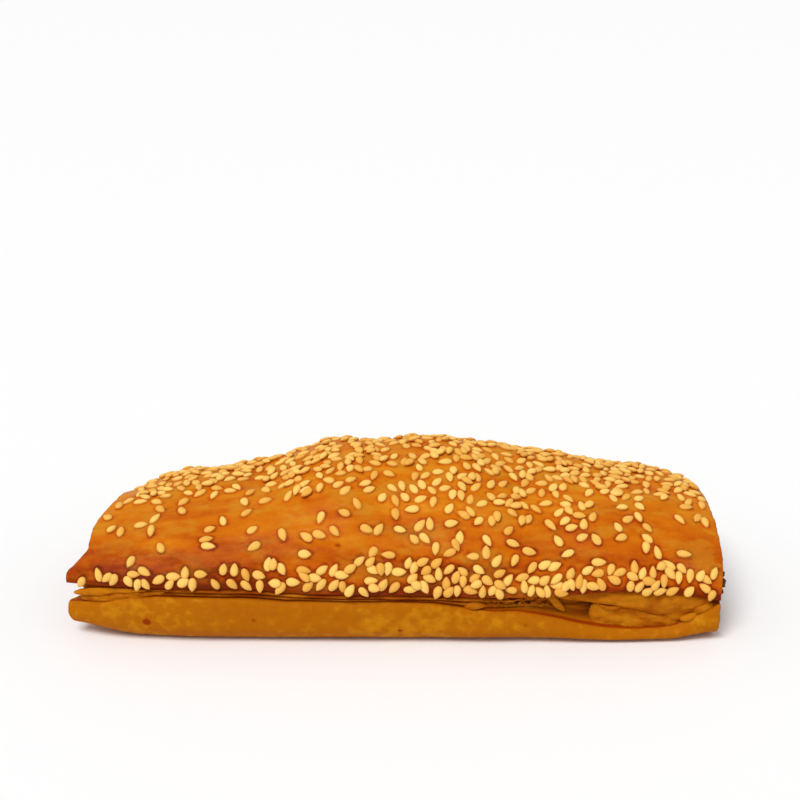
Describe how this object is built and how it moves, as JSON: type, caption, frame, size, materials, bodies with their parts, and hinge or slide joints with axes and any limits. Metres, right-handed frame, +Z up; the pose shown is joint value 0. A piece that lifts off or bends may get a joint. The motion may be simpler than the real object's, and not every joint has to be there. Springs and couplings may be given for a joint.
{
  "type": "spiced sausage roll",
  "caption": "Baked sausage roll: a log of spiced meat in a folded sheet of glazed puff pastry with sesame seeds, its front seam gaping near one end and both ends cut open.",
  "frame": {"origin": "middle of the underside, on the surface that the roll lies on", "axes": "+X along the roll, towards the end beside the gaping stretch of the seam; -Y towards the front seam; +Z up"},
  "size_m": [0.1521, 0.0658, 0.0362],
  "materials": {
    "pastry": "egg-glazed puff pastry baked golden orange, pale on its unglazed lip, with cream sesame seeds",
    "filling": "baked minced meat, brown and slightly moist"
  },
  "bodies": {
    "root": {"pastry": "pastry", "filling": "filling"}
  },
  "joints": []
}
